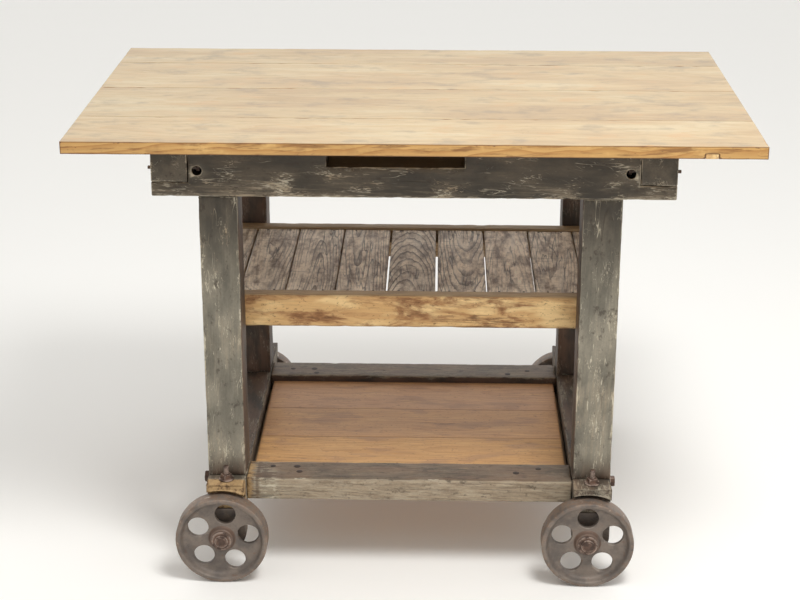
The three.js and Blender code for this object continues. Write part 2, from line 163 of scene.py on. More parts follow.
class Nodes:
    """A node tree. An input takes a number, a vector, a Signal, or a colour as 0 to 255 display values."""

    def __init__(self, tree):
        self.tree = tree

    def put(self, socket, value):
        if isinstance(value, Signal):
            self.tree.links.new(value.socket, socket)
        elif socket.type == "RGBA":
            socket.default_value = (*srgb(*value), 1.0)
        else:
            socket.default_value = value

    def node(self, kind, inputs, **settings):
        made = self.tree.nodes.new("ShaderNode" + kind)
        for key, value in settings.items():
            setattr(made, key, value)
        for key, value in inputs.items():
            self.put(made.inputs[key], value)
        return made

    def math(self, operation, *values):
        made = self.node("Math", dict(enumerate(values)), operation=operation)
        return Signal(self, made.outputs[0])

    def attribute(self, name, output="Fac"):
        return Signal(self, self.node("Attribute", {}, attribute_name=name).outputs[output])

    def split(self, vector):
        made = self.node("SeparateXYZ", {0: vector})
        return [Signal(self, socket) for socket in made.outputs]

    def join(self, x, y, z):
        return Signal(self, self.node("CombineXYZ", {0: x, 1: y, 2: z}).outputs[0])

    def stretch(self, vector, size):
        """The vector with each part divided by size, one number or three."""
        sizes = size if isinstance(size, tuple) else (size, size, size)
        factors = tuple(1.0 / s for s in sizes)
        made = self.node("VectorMath", {0: vector, 1: factors}, operation="MULTIPLY")
        return Signal(self, made.outputs[0])

    def turn(self, vector, angle):
        """The vector turned about its third axis."""
        made = self.node("VectorRotate", {"Vector": vector, "Angle": angle}, rotation_type="Z_AXIS")
        return Signal(self, made.outputs[0])

    def noise(self, vector, size, detail=3.0, roughness=0.5, distortion=0.0):
        """Clouds from 0 to 1 whose features are about size across."""
        inputs = {"Vector": self.stretch(vector, size), "Scale": 1.0, "Detail": detail}
        inputs.update({"Roughness": roughness, "Distortion": distortion})
        return Signal(self, self.node("TexNoise", inputs).outputs[0])

    def cells(self, vector, size):
        """Distance to the nearest of points scattered size apart, and that point's own number."""
        made = self.node("TexVoronoi", {"Vector": self.stretch(vector, size), "Scale": 1.0})
        number = self.split(Signal(self, made.outputs["Color"]))[0]
        return Signal(self, made.outputs["Distance"]), number

    def fade(self, value, start, end):
        """A smooth step: 0 up to start and 1 from end on, or the other way round if end is lower."""
        flip = end < start
        low, high = (end, start) if flip else (start, end)
        inputs = {"Value": value, "From Min": low, "From Max": high}
        inputs.update({"To Min": 1.0 if flip else 0.0, "To Max": 0.0 if flip else 1.0})
        made = self.node("MapRange", inputs, interpolation_type="SMOOTHSTEP")
        return Signal(self, made.outputs["Result"])

    def line(self, value, middle, width):
        """1 where value is near middle, down to 0 at width from it."""
        return self.fade(self.math("ABSOLUTE", value - middle), width, 0.0)

    def mix(self, factor, first, second):
        made = self.node("Mix", {}, data_type="RGBA", clamp_factor=True)
        self.put(made.inputs[0], factor)
        self.put(made.inputs[6], first)
        self.put(made.inputs[7], second)
        return Signal(self, made.outputs[2])

    def coats(self, colour, *coats):
        """The colour with others laid over it in turn, each given as an amount and a colour."""
        for amount, tint in coats:
            colour = self.mix(amount, colour, tint)
        return colour

    def shade(self, colour, factor):
        """The colour made lighter or darker by a factor."""
        made = self.node("VectorMath", {0: colour, "Scale": factor}, operation="SCALE")
        return Signal(self, made.outputs[0])


class Shader(Nodes):
    """One material's nodes."""

    def __init__(self, name):
        self.material = bpy.data.materials.new(name)
        self.material.use_nodes = True
        super().__init__(self.material.node_tree)
        self.tree.nodes.clear()
        self.surface = self.tree.nodes.new("ShaderNodeBsdfPrincipled")
        output = self.tree.nodes.new("ShaderNodeOutputMaterial")
        self.tree.links.new(self.surface.outputs["BSDF"], output.inputs["Surface"])

    def finish(self, colour, roughness, height, depth_mm, metallic=0.0, specular=0.5):
        bump = self.node("Bump", {"Height": height, "Distance": depth_mm * MM, "Strength": 1.0})
        self.put(self.surface.inputs["Base Color"], colour)
        self.put(self.surface.inputs["Roughness"], roughness)
        self.put(self.surface.inputs["Metallic"], metallic)
        self.put(self.surface.inputs["Specular IOR Level"], specular)
        self.put(self.surface.inputs["Normal"], Signal(self, bump.outputs["Normal"]))
        return self.material


class Wood:
    """Growth rings round a leaning, wandering pith and bent round knots, with fibres and open checks."""

    def __init__(self, shader, ring=5.0, wander=16.0, knot_apart=150.0, knot_share=0.25, knot_size=8.0,
                 check_width=0.03, check_share=0.5, sharpness=2.2):
        s = shader
        self.place = s.attribute("grain", "Vector")
        along, across, through = s.split(self.place)
        apart, number = s.cells(s.join(along, across, 0.0), knot_apart)
        apart = apart * knot_apart + (s.noise(self.place, 9.0) - 0.5) * knot_size * 0.8
        chosen = s.fade(number, 1.0 - knot_share, 1.0 - knot_share + 0.02)
        self.knot = s.fade(apart, knot_size, knot_size * 0.55) * chosen
        self.knot_ring = s.line(apart, knot_size * 1.05, knot_size * 0.5) * chosen
        pull = s.fade(apart, knot_size * 4.5, knot_size * 0.5) * chosen
        drift = s.noise(s.join(along, across * 0.4, through * 0.4), (260.0, 60.0, 60.0), detail=2.0)
        sway = s.noise(s.join(along + 900.0, 0.0, 0.0), 280.0, detail=2.0)
        side = across + (sway - 0.5) * wander * 2.0
        deep = through + (drift - 0.5) * wander
        reach = s.math("SQRT", side * side + deep * deep)
        wobble = s.noise(self.place, (70.0, 12.0, 12.0), detail=2.0) * ring * 0.7
        years = (reach + pull * ring * 2.0 + wobble) / ring
        self.late = s.math("FRACT", years) ** sharpness
        self.year = s.noise(s.join(s.math("FLOOR", years), 3.7, 1.3), 0.9, detail=0.0)
        self.fibre = s.noise(self.place, (95.0, 3.4, 3.4), detail=4.0, roughness=0.68)
        self.band = s.noise(self.place, (330.0, 17.0, 26.0), detail=3.0)
        self.cloud = s.noise(self.place, (130.0, 48.0, 48.0), detail=3.0, roughness=0.6)
        self.specks = s.noise(self.place, (9.0, 4.5, 4.5), detail=3.0, roughness=0.7)
        thread = s.noise(self.place, (190.0, 13.0, 30.0), detail=1.5)
        where = s.noise(self.place, (210.0, 40.0, 60.0), detail=1.0)
        self.check = s.line(thread, 0.5, check_width) * s.fade(where, 1 - check_share, 1.08 - check_share)
        self.end = s.attribute("end")
        self.edge = s.attribute("edge")
        self.tone = s.attribute("tone")
        self.worn = s.attribute("worn")


# ---- materials, one for each of the record's slots ----


def worktop_material():
    """Scrubbed pine boards: a pale dry face where worn is 1, and a honey-coloured side where it is 0."""
    s = Shader("worktop_pine")
    w = Wood(s, ring=7.5, wander=26, knot_apart=230, knot_share=0.2, knot_size=6, check_share=0.36)
    streak = s.noise(w.place, (70.0, 8.0, 8.0), detail=5.0, roughness=0.62)
    bruise = s.noise(w.place, (80.0, 48.0, 48.0), detail=4.0, roughness=0.62)
    nick = s.noise(w.place, (24.0, 6.0, 6.0), detail=5.0, roughness=0.72)
    sweep = s.noise(w.place, (340.0, 60.0, 60.0), detail=3.0, roughness=0.55)
    face = s.mix(w.late * 0.22, (205, 179, 136), (186, 154, 110))
    face = s.coats(
        face,
        (s.fade(sweep, 0.46, 0.64) * 0.6, (184, 152, 112)),
        (s.fade(sweep, 0.46, 0.32) * 0.6, (214, 196, 158)),
        (s.fade(streak, 0.53, 0.7) * 0.32, (156, 130, 96)),
        (s.fade(streak, 0.45, 0.3) * 0.35, (222, 202, 162)),
        (s.fade(bruise, 0.5, 0.72) * 0.6, (154, 136, 112)),
        (s.fade(bruise, 0.44, 0.28) * 0.6, (208, 166, 116)),
    )
    side = s.mix(w.late * 0.8, (220, 172, 104), (184, 128, 66))
    side = s.coats(
        side,
        (s.fade(streak, 0.5, 0.66) * 0.7, (130, 84, 42)),
        (s.fade(bruise, 0.44, 0.3) * 0.7, (244, 200, 128)),
        (s.fade(bruise, 0.56, 0.7) * 0.3, (150, 100, 52)),
    )
    nicked = s.fade(nick + s.fade(w.edge, 7.0, 0.0) * 0.08, 0.66, 0.71)
    side = s.mix(nicked * 0.8, side, (92, 56, 30))
    colour = s.mix(w.worn, side, face)
    colour = s.shade(colour, 0.66 + w.fibre * 0.3)
    colour = s.shade(colour, 1.0 + w.tone * 0.05)
    colour = s.coats(
        colour,
        (w.knot_ring * 0.45, (126, 92, 64)),
        (w.knot * 0.75, (112, 80, 58)),
        (w.check * (0.85 - w.worn * 0.65), (108, 74, 50)),
        (s.fade(w.specks, 0.64, 0.76) * 0.55, (96, 70, 50)),
    )
    arris = s.fade(w.edge, 2.6, 0.4) * (0.9 - w.worn * 0.82)
    colour = s.mix(arris, colour, (92, 54, 30))
    roughness = 0.36 + w.fibre * 0.14 + w.late * 0.05
    height = w.late * 0.25 + w.fibre * 0.4 - w.check * 1.2 - w.knot_ring * 0.4
    return s.finish(colour, roughness, height, 0.3)


def honey_material():
    """Bare oiled softwood: orange-brown with brown stains and specks, greyer where tone is low."""
    s = Shader("honey_pine")
    w = Wood(s, ring=6.5, wander=20, knot_apart=120, knot_share=0.4, knot_size=7, check_share=0.45)
    stain = s.noise(w.place, (120.0, 38.0, 38.0), detail=6.0, roughness=0.66, distortion=0.4)
    colour = s.mix(w.late * 0.4, (212, 172, 118), (184, 136, 84))
    colour = s.coats(
        colour,
        (s.fade(w.band, 0.48, 0.68) * 0.45, (178, 134, 90)),
        (s.fade(w.cloud, 0.5, 0.36) * 0.75, (238, 206, 150)),
    )
    colour = s.shade(colour, 0.74 + w.fibre * 0.5)
    colour = s.coats(
        colour,
        (s.fade(stain, 0.46, 0.6) * 0.85, (136, 90, 54)),
        (s.fade(stain, 0.56, 0.68) * 0.6, (84, 54, 34)),
        (s.fade(w.specks, 0.58, 0.7) * 0.65, (92, 60, 38)),
        (w.knot_ring * 0.5, (92, 58, 36)),
        (w.knot * 0.75, (92, 60, 38)),
        (w.check * 0.6, (78, 50, 32)),
    )
    plain = 1.0 - s.math("ABSOLUTE", w.tone)
    colour = s.coats(
        colour,
        (s.fade(w.edge, 5.0, 0.0) * plain * 0.6, (104, 78, 56)),
        (w.end * plain * 0.4, (120, 80, 48)),
    )
    grey = s.mix(w.late, (170, 150, 120), (126, 104, 80))
    colour = s.mix(s.fade(w.tone, 0.0, -1.0) * 0.9, colour, grey)
    roughness = 0.55 + w.fibre * 0.15
    height = w.late * 0.4 + w.fibre * 0.5 - w.check * 1.5 - w.knot_ring * 0.6
    return s.finish(colour, roughness, height, 0.5, specular=0.35)


def grey_boards_material():
    """Weathered shelf boards: grey-brown, with dark raised grain that is bolder where worn is high."""
    s = Shader("weathered_boards")
    w = Wood(s, ring=5.0, wander=8, knot_apart=150, knot_share=0.3, knot_size=8, check_share=0.5,
             sharpness=1.6)
    strong = s.fade(w.cloud + (w.year - 0.5) * 0.7, 0.36, 0.64)
    bold = s.fade(w.late, 0.35, 0.95) * (0.1 + strong * 0.9) * (0.16 + w.worn * 0.84)
    scuff = s.noise(w.place, (5.0, 60.0, 8.0), detail=3.0, roughness=0.7)
    smear = s.noise(w.place, (60.0, 22.0, 22.0), detail=5.0, roughness=0.68)
    colour = s.mix(s.fade(smear, 0.38, 0.62), (245, 231, 211), (177, 159, 140))
    colour = s.coats(
        colour,
        (bold, (74, 58, 48)),
        (s.fade(smear, 0.55, 0.7) * 0.75, (104, 84, 72)),
        (s.fade(w.band, 0.46, 0.3) * 0.4, (214, 206, 196)),
    )
    colour = s.shade(colour, 0.66 + w.fibre * 0.72)
    colour = s.coats(
        colour,
        (s.fade(scuff, 0.58, 0.68) * 0.5, (84, 68, 56)),
        (s.fade(w.specks, 0.6, 0.72) * 0.5, (80, 64, 54)),
        (w.knot_ring * 0.7, (56, 42, 34)),
        (w.knot * 0.8, (76, 58, 46)),
        (w.check * 0.75, (48, 36, 30)),
        (s.fade(w.edge, 5.0, 0.0) * 0.35, (92, 74, 60)),
    )
    colour = s.shade(colour, 1.0 + w.tone * 0.14)
    roughness = 0.52 + w.fibre * 0.2
    height = bold * 0.7 + w.fibre * 0.6 - w.check * 1.8 - w.knot_ring * 0.8 - w.specks * 0.3
    return s.finish(colour, roughness, height, 0.7)


def warm_boards_material():
    """The bottom shelf's waxed boards: orange-brown at the front, duller towards the back."""
    s = Shader("waxed_boards")
    w = Wood(s, ring=7.0, wander=24, knot_apart=150, knot_share=0.35, knot_size=5.5, check_share=0.4)
    smudge = s.noise(w.place, (100.0, 14.0, 14.0), detail=4.0, roughness=0.6)
    front = s.mix(w.late * 0.5, (196, 150, 92), (172, 122, 66))
    back = s.mix(w.late * 0.5, (196, 150, 110), (172, 124, 86))
    colour = s.mix(s.fade(w.tone, -1.0, 1.0), front, back)
    colour = s.coats(
        colour,
        (s.fade(w.cloud, 0.52, 0.66) * 0.5, (152, 114, 86)),
        (s.fade(smudge, 0.54, 0.72) * 0.35, (140, 94, 58)),
        (s.fade(smudge, 0.47, 0.3) * 0.4, (222, 176, 116)),
    )
    colour = s.shade(colour, 0.74 + w.fibre * 0.5)
    colour = s.coats(
        colour,
        (s.fade(w.specks, 0.58, 0.7) * 0.5, (96, 62, 42)),
        (s.fade(w.edge, 4.0, 0.0) * 0.2, (110, 74, 48)),
        (w.knot_ring * 0.7, (84, 54, 38)),
        (w.knot * 0.85, (58, 42, 34)),
        (w.check * 0.45, (92, 62, 44)),
    )
    roughness = 0.44 + w.fibre * 0.16
    height = w.late * 0.3 + w.fibre * 0.4 - w.check * 1.4 - w.knot_ring * 0.6
    return s.finish(colour, roughness, height, 0.4, specular=0.4)


def painted_material():
    """Old grey-green paint over softwood. It is darker where tone is high, which is painted shade under the
    worktop's overhang. Where tone is low it is brown: the base's browner paint and dirt, and on faces that
    face into the cart also painted shade. At -2 it is near black, painted shade in the beams' slot and on
    their hidden faces. Where worn is high it is rubbed thin, up to an even bare grey, and above 1 raw wood
    shows."""
    s = Shader("old_paint")
    w = Wood(s, ring=6.0, wander=26, knot_apart=170, knot_share=0.3, knot_size=9, check_share=0.3)
    chips = s.noise(w.place, (30.0, 5.0, 5.0), detail=7.0, roughness=0.74, distortion=0.1)
    patches = s.noise(w.place, (110.0, 40.0, 40.0), detail=3.0)
    clusters = s.noise(w.place, (60.0, 26.0, 26.0), detail=2.0)
    streak = s.noise(w.place, (70.0, 5.0, 5.0), detail=4.0, roughness=0.7)
    scrape = s.noise(w.place, (10.0, 2.4, 2.4), detail=4.0, roughness=0.74)
    thread = s.noise(w.place, (170.0, 16.0, 16.0), detail=2.0, roughness=0.6)
    slant = s.noise(s.turn(w.place, math.radians(24)), (70.0, 14.0, 14.0), detail=2.0)
    cross = s.noise(w.place, (3.0, 26.0, 26.0), detail=3.0, roughness=0.7)
    grime = s.noise(w.place, (22.0, 13.0, 13.0), detail=5.0, roughness=0.7)
    near_edge = s.fade(w.edge, 8.0, 0.0)
    push = (patches - 0.5) * 0.5 + (w.worn - 0.5) * 0.3
    bare = s.fade(chips + near_edge * 0.13 + push, 0.61, 0.66)
    bare = bare * (1.0 - s.fade(w.tone, 0.0, 1.0) * 0.5)
    rubbed = s.fade(scrape + (clusters - 0.5) * 0.8 + near_edge * 0.08 + push * 0.5, 0.66, 0.72)
    scratch = s.line(thread, 0.47, 0.01) * s.fade(clusters, 0.48, 0.58)
    slash = s.line(slant, 0.53, 0.009) * s.fade(clusters, 0.5, 0.6)
    arris = s.fade(w.edge, 2.6, 1.0) * s.fade(w.edge, 0.0, 0.6)
    arris = arris * s.fade(clusters + streak * 0.3, 0.52, 0.62)
    loss = s.math("MAXIMUM", bare, rubbed * 0.85)
    loss = s.math("MAXIMUM", loss, s.math("MAXIMUM", scratch * 0.7, slash * 0.45))
    loss = s.math("MAXIMUM", loss, arris * s.fade(w.worn, 0.0, 0.16) * 0.9)
    even = s.fade(w.worn, 0.82, 0.92) * s.fade(w.worn, 1.0, 0.94)
    loss = loss * (1.0 - even * 0.75)

    wood = s.mix(w.late, (210, 201, 180), (178, 164, 140))
    wood = s.mix(s.fade(w.cloud, 0.5, 0.68) * 0.6, wood, (158, 132, 100))
    wood = s.shade(wood, 0.7 + w.fibre * 0.56)
    paint = s.mix(s.fade(patches, 0.35, 0.65), (106, 101, 89), (140, 133, 118))
    paint = s.mix(s.fade(w.band, 0.5, 0.7) * 0.35, paint, (150, 142, 124))
    # Painted shade: the darker paint that high tone blends in stands for the shade under the worktop's
    # overhang.
    dark = s.mix(s.fade(patches, 0.35, 0.65), (61, 55, 46), (86, 77, 64))
    paint = s.mix(s.fade(w.tone, 0.0, 1.0), paint, dark)
    thin = s.fade(streak * 0.6 + patches * 0.4 + (w.worn - 0.5) * 0.6, 0.46, 0.8)
    paint = s.mix(thin * 0.8, paint, (168, 152, 128))
    rub = s.mix(s.fade(streak, 0.4, 0.62), (162, 144, 120), (122, 105, 86))
    paint = s.mix(even * 0.85, paint, rub)
    brown = s.mix(s.fade(w.cloud, 0.36, 0.6), (44, 33, 27), (86, 63, 49))
    mottle = s.noise(w.place, (6.0, 3.5, 3.5), detail=4.0, roughness=0.75)
    paint = s.shade(paint, 0.7 + mottle * 0.6)
    # Painted shade: near black at tone -2 for the slot and hidden faces; brown at -1 is also painted shade
    # on inner faces.
    brown = s.mix(s.fade(w.tone, -1.2, -2.0), brown, (20, 15, 13))
    paint = s.mix(s.fade(w.tone, 0.0, -1.0) * 0.92, paint, brown)
    paint = s.shade(paint, 0.72 + w.fibre * 0.56)
    colour = s.mix(loss * (0.95 - s.fade(w.tone, 0.0, -1.0) * 0.7), paint, wood)
    sawn = s.mix(s.fade(grime, 0.46, 0.62) * 0.7, (178, 148, 106), (120, 88, 60))
    sawn = s.shade(sawn, 0.55 + w.specks * 0.5 + w.cloud * 0.4)
    colour = s.mix(s.fade(w.worn + (chips - 0.5) * 0.8, 0.98, 1.14), colour, sawn)
    colour = s.coats(
        colour,
        (w.check * 0.45, (40, 32, 26)),
        (s.fade(cross, 0.68, 0.74) * 0.5, (58, 48, 40)),
        (s.fade(grime + near_edge * 0.04, 0.56, 0.68) * 0.65, (58, 47, 38)),
    )
    roughness = 0.5 + loss * 0.2 + w.fibre * 0.12
    height = (1.0 - loss) * 0.5 + w.fibre * 0.3 - w.check * 1.6 + grime * 0.2
    return s.finish(colour, roughness, height, 0.5, specular=0.4)


def iron_material():
    """Cast iron with a brown patina, rust in the hollows and a rubbed bright tread."""
    s = Shader("cast_iron_patina")
    place = s.attribute("grain", "Vector")
    edge, worn = s.attribute("edge"), s.attribute("worn")
    cloud = s.noise(place, 38.0, detail=4.0, roughness=0.6)
    grit = s.noise(place, 3.2, detail=3.0, roughness=0.6)
    flakes = s.noise(place, (14.0, 9.0, 14.0), detail=5.0, roughness=0.7)
    colour = s.mix(s.fade(cloud, 0.35, 0.65), (104, 96, 90), (132, 120, 110))
    colour = s.coats(
        colour,
        (s.fade(flakes, 0.56, 0.7) * 0.5, (122, 90, 70)),
        (s.fade(flakes, 0.44, 0.3) * 0.45, (76, 68, 62)),
    )
    hub = s.fade(worn, 0.0, -1.0)
    colour = s.mix(hub * s.fade(cloud + flakes * 0.4, 0.5, 0.8) * 0.7, colour, (104, 76, 60))
    rust = s.math("MAXIMUM", worn, 0.0) * s.fade(flakes, 0.40, 0.56)
    colour = s.mix(rust * 0.6, colour, (134, 108, 88))
    rubbed = s.math("MAXIMUM", worn, 0.0) * s.fade(flakes + grit * 0.2, 0.7, 0.78)
    shine = s.math("MAXIMUM", rubbed, s.fade(edge, 3.0, 0.0) * s.fade(cloud, 0.45, 0.62) * 0.4)
    colour = s.mix(shine, colour, (180, 170, 158))
    colour = s.shade(colour, 0.86 + grit * 0.28)
    roughness = 0.5 + grit * 0.16 - shine * 0.1
    return s.finish(colour, roughness, grit * 0.6 + flakes * 0.6, 0.45, metallic=0.3)


def rusty_material():
    """Rusted steel for bolts, nuts, washers and axle ends. It is dark where tone is -1."""
    s = Shader("rusted_steel")
    place = s.attribute("grain", "Vector")
    edge = s.attribute("edge")
    cloud = s.noise(place, 13.0, detail=5.0, roughness=0.65)
    grit = s.noise(place, 1.8, detail=3.0, roughness=0.6)
    colour = s.mix(s.fade(cloud, 0.36, 0.62), (78, 62, 54), (116, 90, 76))
    colour = s.coats(
        colour,
        (s.fade(cloud, 0.56, 0.7) * 0.5, (132, 92, 68)),
        (s.fade(edge, 1.0, 2.6) * 0.35, (58, 44, 38)),
    )
    shine = s.fade(edge, 1.2, 0.0) * s.fade(cloud, 0.4, 0.55)
    colour = s.coats(
        colour,
        (shine * 0.6, (176, 160, 148)),
        (s.fade(s.attribute("tone"), 0.0, -1.0) * 0.75, (40, 31, 27)),
    )
    colour = s.shade(colour, 0.84 + grit * 0.32)
    roughness = 0.48 + grit * 0.25
    return s.finish(colour, roughness, grit * 0.5 + cloud * 0.6, 0.4, metallic=0.35)


LOOKS = {
    "worktop": worktop_material(),
    "honey_wood": honey_material(),
    "grey_boards": grey_boards_material(),
    "warm_boards": warm_boards_material(),
    "painted_timber": painted_material(),
    "cast_iron": iron_material(),
    "rusty_steel": rusty_material(),
}


# ---- meshes ----


def cad_solid(node):
    """A CAD node's shape with the triangles of each flat face joined."""
    bm = bmesh.new()
    bm.from_mesh(frame["nodes"][node].data)
    bmesh.ops.remove_doubles(bm, verts=bm.verts, dist=1e-6)
    bmesh.ops.dissolve_limit(bm, angle_limit=math.radians(1), verts=bm.verts, edges=bm.edges)
    return bm


def sharp_edges(bm, shortest=0.0):
    """Outward corners of a solid that are at least this long."""
    return [
        e
        for e in bm.edges
        if e.is_manifold and e.is_convex and e.calc_face_angle() > SHARP_ANGLE
        and e.calc_length() >= shortest
    ]


def segments_of(edges):
    return np.array([[v.co[:] for v in e.verts] for e in edges], float).reshape(-1, 2, 3)


def cad_segments(node):
    """The outward corners of a CAD node, as segments."""
    bm = cad_solid(node)
    segments = segments_of(sharp_edges(bm))
    bm.free()
    return segments


def distance_to(points, segments):
    """Each point's distance to the nearest of some straight segments."""
    best = np.full(len(points), 1e9)
    for start, end in segments:
        along = end - start
        share = np.clip((points - start) @ along / max(along @ along, 1e-12), 0, 1)
        best = np.minimum(best, np.linalg.norm(points - start - share[:, None] * along, axis=1))
    return best


def slice_up(bm, low, high, step):
    """Cuts a solid's faces by planes across each axis, closer together beside the edges."""
    places = []
    for axis in range(3):
        length = high[axis] - low[axis]
        near = [d for d in EDGE_LINES if d < length / 2 - 1 * MM]
        inner = near[-1] if near else 0.0
        count = max(1, round((length - 2 * inner) / step))
        cuts = [low[axis] + d for d in near] + [high[axis] - d for d in near]
        cuts += [low[axis] + inner + (length - 2 * inner) * i / count for i in range(1, count)]
        places.append((len(cuts), axis, cuts))
    for _, axis, cuts in sorted(places):
        normal = Vector([float(i == axis) for i in range(3)])
        for cut in cuts:
            geometry = bm.verts[:] + bm.edges[:] + bm.faces[:]
            bmesh.ops.bisect_plane(bm, geom=geometry, plane_co=normal * cut, plane_no=normal, dist=1e-7)


def weather(bm, segments, depth, seed):
    """Wears a solid down: dents and rounding along its edges, and a slight unevenness elsewhere."""
    bm.normal_update()
    verts = bm.verts[:]
    points = np.array([v.co[:] for v in verts], float)
    apart = distance_to(points, segments)
    shift = Vector((seed, seed * 0.7, -seed))
    for v, d in zip(verts, apart):
        amount = 0.25 * MM * noise.noise(v.co / (90 * MM) + shift)
        if d < WEAR_REACH:
            chip = noise.noise(v.co / (26 * MM) + shift) + 0.6 * noise.noise(v.co / (9 * MM) + shift)
            share = (1 - d / WEAR_REACH) ** 2
            amount += depth * share * (0.25 + 1.9 * max(0.0, chip - 0.1))
        v.co -= v.normal * amount


def set_attribute(mesh, name, values):
    vector = values.ndim == 2
    made = mesh.attributes.new(name, "FLOAT_VECTOR" if vector else "FLOAT", "POINT")
    made.data.foreach_set("vector" if vector else "value", values.astype(np.float32).ravel())


def vertex_array(mesh, key="co"):
    values = np.zeros(len(mesh.vertices) * 3, np.float32)
    if key == "normal":
        mesh.vertex_normals.foreach_get("vector", values)
    else:
        mesh.vertices.foreach_get(key, values)
    return values.reshape(-1, 3).astype(float)


def shade_smooth(bm):
    for face in bm.faces:
        face.smooth = True
    for edge in bm.edges:
        edge.smooth = not (edge.is_manifold and edge.calc_face_angle() > SMOOTH_ANGLE)


def object_from(name, bm):
    """A new object in the scene, made of the mesh."""
    mesh = bpy.data.meshes.new(name)
    bm.to_mesh(mesh)
    bm.free()
    made = bpy.data.objects.new(name, mesh)
    bpy.context.scene.collection.objects.link(made)
    return made


def make_piece(name, bm, node, slot, replaces=None):
    """A mesh as an object that rides with a CAD node's body and takes the slot's material."""
    shade_smooth(bm)
    piece = object_from(name, bm)
    piece.data.materials.append(LOOKS[slot])
    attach(piece, frame["nodes"][node]["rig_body"])
    if replaces is None:
        replaces = [node]
    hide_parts(*replaces)
    return piece


def set_grain(piece, node, segments, axis="x", pith_mm=(0.0, 60.0), lean=(0.0, 0.0), tone=0.0, worn=0.5):
    """Gives a piece the attributes that its material reads. axis is the way its grain runs, pith_mm is
    where the tree's middle lay, across and through the piece, lean is how far the middle moves each way
    per unit of length. tone and worn are numbers, or functions of a point's place in the node's box, from
    0 to 1 each way."""
    low, high = (np.array(corner, float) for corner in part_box(node))
    mesh = piece.data
    points = vertex_array(mesh)
    run = AXES[axis]
    others = [i for i in range(3) if i != run]
    through = min(others, key=lambda i: high[i] - low[i])
    across = [i for i in others if i != through][0]
    draw = random.Random(node)
    local = (points - (low + high) / 2) / MM
    grain = np.stack([local[:, run], local[:, across], local[:, through]], axis=1)
    grain[:, 1:] += np.array(pith_mm) + grain[:, :1] * np.array(lean)
    grain[:, 0] += draw.uniform(-9000, 9000)
    set_attribute(mesh, "grain", grain)
    set_attribute(mesh, "edge", np.minimum(distance_to(points, segments) / MM, EDGE_REACH_MM))
    set_attribute(mesh, "end", np.abs(vertex_array(mesh, "normal")[:, run]))
    place = (points - low) / np.maximum(high - low, 1e-9)
    for name, value in (("tone", tone), ("worn", worn)):
        amount = [value(*p) if callable(value) else value for p in place]
        set_attribute(mesh, name, np.array(amount, float))


def worn_solid(node, rounding_mm, wear_mm, step, seed):
    """A CAD node's shape with its corners rounded and its edges dented, and its corners as segments."""
    bm = cad_solid(node)
    segments = segments_of(sharp_edges(bm))
    bmesh.ops.bevel(bm, geom=sharp_edges(bm, shortest=6 * MM), offset=rounding_mm * MM, segments=2,
                    profile=0.5, affect="EDGES", clamp_overlap=True)
    slice_up(bm, *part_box(node), step)
    weather(bm, segments, wear_mm * MM, seed)
    return bm, segments


def timber(node, slot, axis, rounding_mm, wear_mm, tone=0.0, worn=0.5, pith_depth_mm=(14, 55),
           lean_most=0.04):
    """A sawn and worn piece built from its CAD node, with its grain along an axis."""
    draw = random.Random(node + " wear")
    bm, segments = worn_solid(node, rounding_mm, wear_mm, TIMBER_STEP, draw.uniform(0, 50))
    piece = make_piece(node + "_worn", bm, node, slot)
    low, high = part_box(node)
    sizes_mm = sorted((high[i] - low[i]) / MM for i in range(3))
    deep = draw.choice([-1, 1]) * (sizes_mm[0] / 2 + draw.uniform(*pith_depth_mm))
    pith = (draw.uniform(-0.22, 0.22) * sizes_mm[1], deep)
    lean = (draw.uniform(-0.03, 0.03), draw.uniform(0.5, 1.0) * draw.choice([-1, 1]) * lean_most)
    set_grain(piece, node, segments, axis, pith, lean, tone, worn)
    return piece


def fillet(points, radii, steps=4):
    """A closed outline with its corners rounded, each by its own radius."""
    made = []
    for i, corner in enumerate(points):
        before, after = Vector(points[i - 1]), Vector(points[(i + 1) % len(points)])
        corner = Vector(corner)
        if not radii[i]:
            made.append(corner)
            continue
        back, on = (before - corner), (after - corner)
        reach = min(radii[i], back.length * 0.45, on.length * 0.45)
        start, end = corner + back.normalized() * reach, corner + on.normalized() * reach
        for k in range(steps + 1):
            t = k / steps
            made.append(start * (1 - t) ** 2 + corner * 2 * t * (1 - t) + end * t * t)
    return made


def turned_ring(outline, segments):
    """A closed outline of (radius, depth) points turned about the Y axis."""
    bm = bmesh.new()
    rings = []
    for k in range(segments):
        angle = 2 * math.pi * k / segments
        rings.append([bm.verts.new((p.x * math.sin(angle), p.y, p.x * math.cos(angle))) for p in outline])
    count = len(outline)
    for k in range(segments):
        here, there = rings[k], rings[(k + 1) % segments]
        for i in range(count):
            j = (i + 1) % count
            bm.faces.new((here[i], here[j], there[j], there[i]))
    bmesh.ops.recalc_face_normals(bm, faces=bm.faces)
    return bm


def spindle(bm, origin, direction, rows, segments, turn=0.0):
    """Adds a closed turned solid. Each row is a radius and a distance along the axis, and may end with
    half the width of the square that cuts it, as on a square nut."""
    facing = Vector((0, 0, 1)).rotation_difference(Vector(direction)).to_matrix()
    rings = []
    for row in rows:
        radius, distance = row[:2]
        ring = []
        for k in range(segments):
            angle = 2 * math.pi * k / segments
            reach = radius
            if len(row) > 2:
                reach = min(radius, row[2] / max(abs(math.cos(angle)), abs(math.sin(angle))))
            local = Vector((reach * math.cos(angle + turn), reach * math.sin(angle + turn), distance))
            ring.append(bm.verts.new(origin + facing @ local))
        rings.append(ring)
    made = [bm.faces.new(rings[0][::-1]), bm.faces.new(rings[-1])]
    for lower, upper in zip(rings, rings[1:]):
        for k in range(segments):
            j = (k + 1) % segments
            made.append(bm.faces.new((lower[k], lower[j], upper[j], upper[k])))
    bmesh.ops.recalc_face_normals(bm, faces=made)


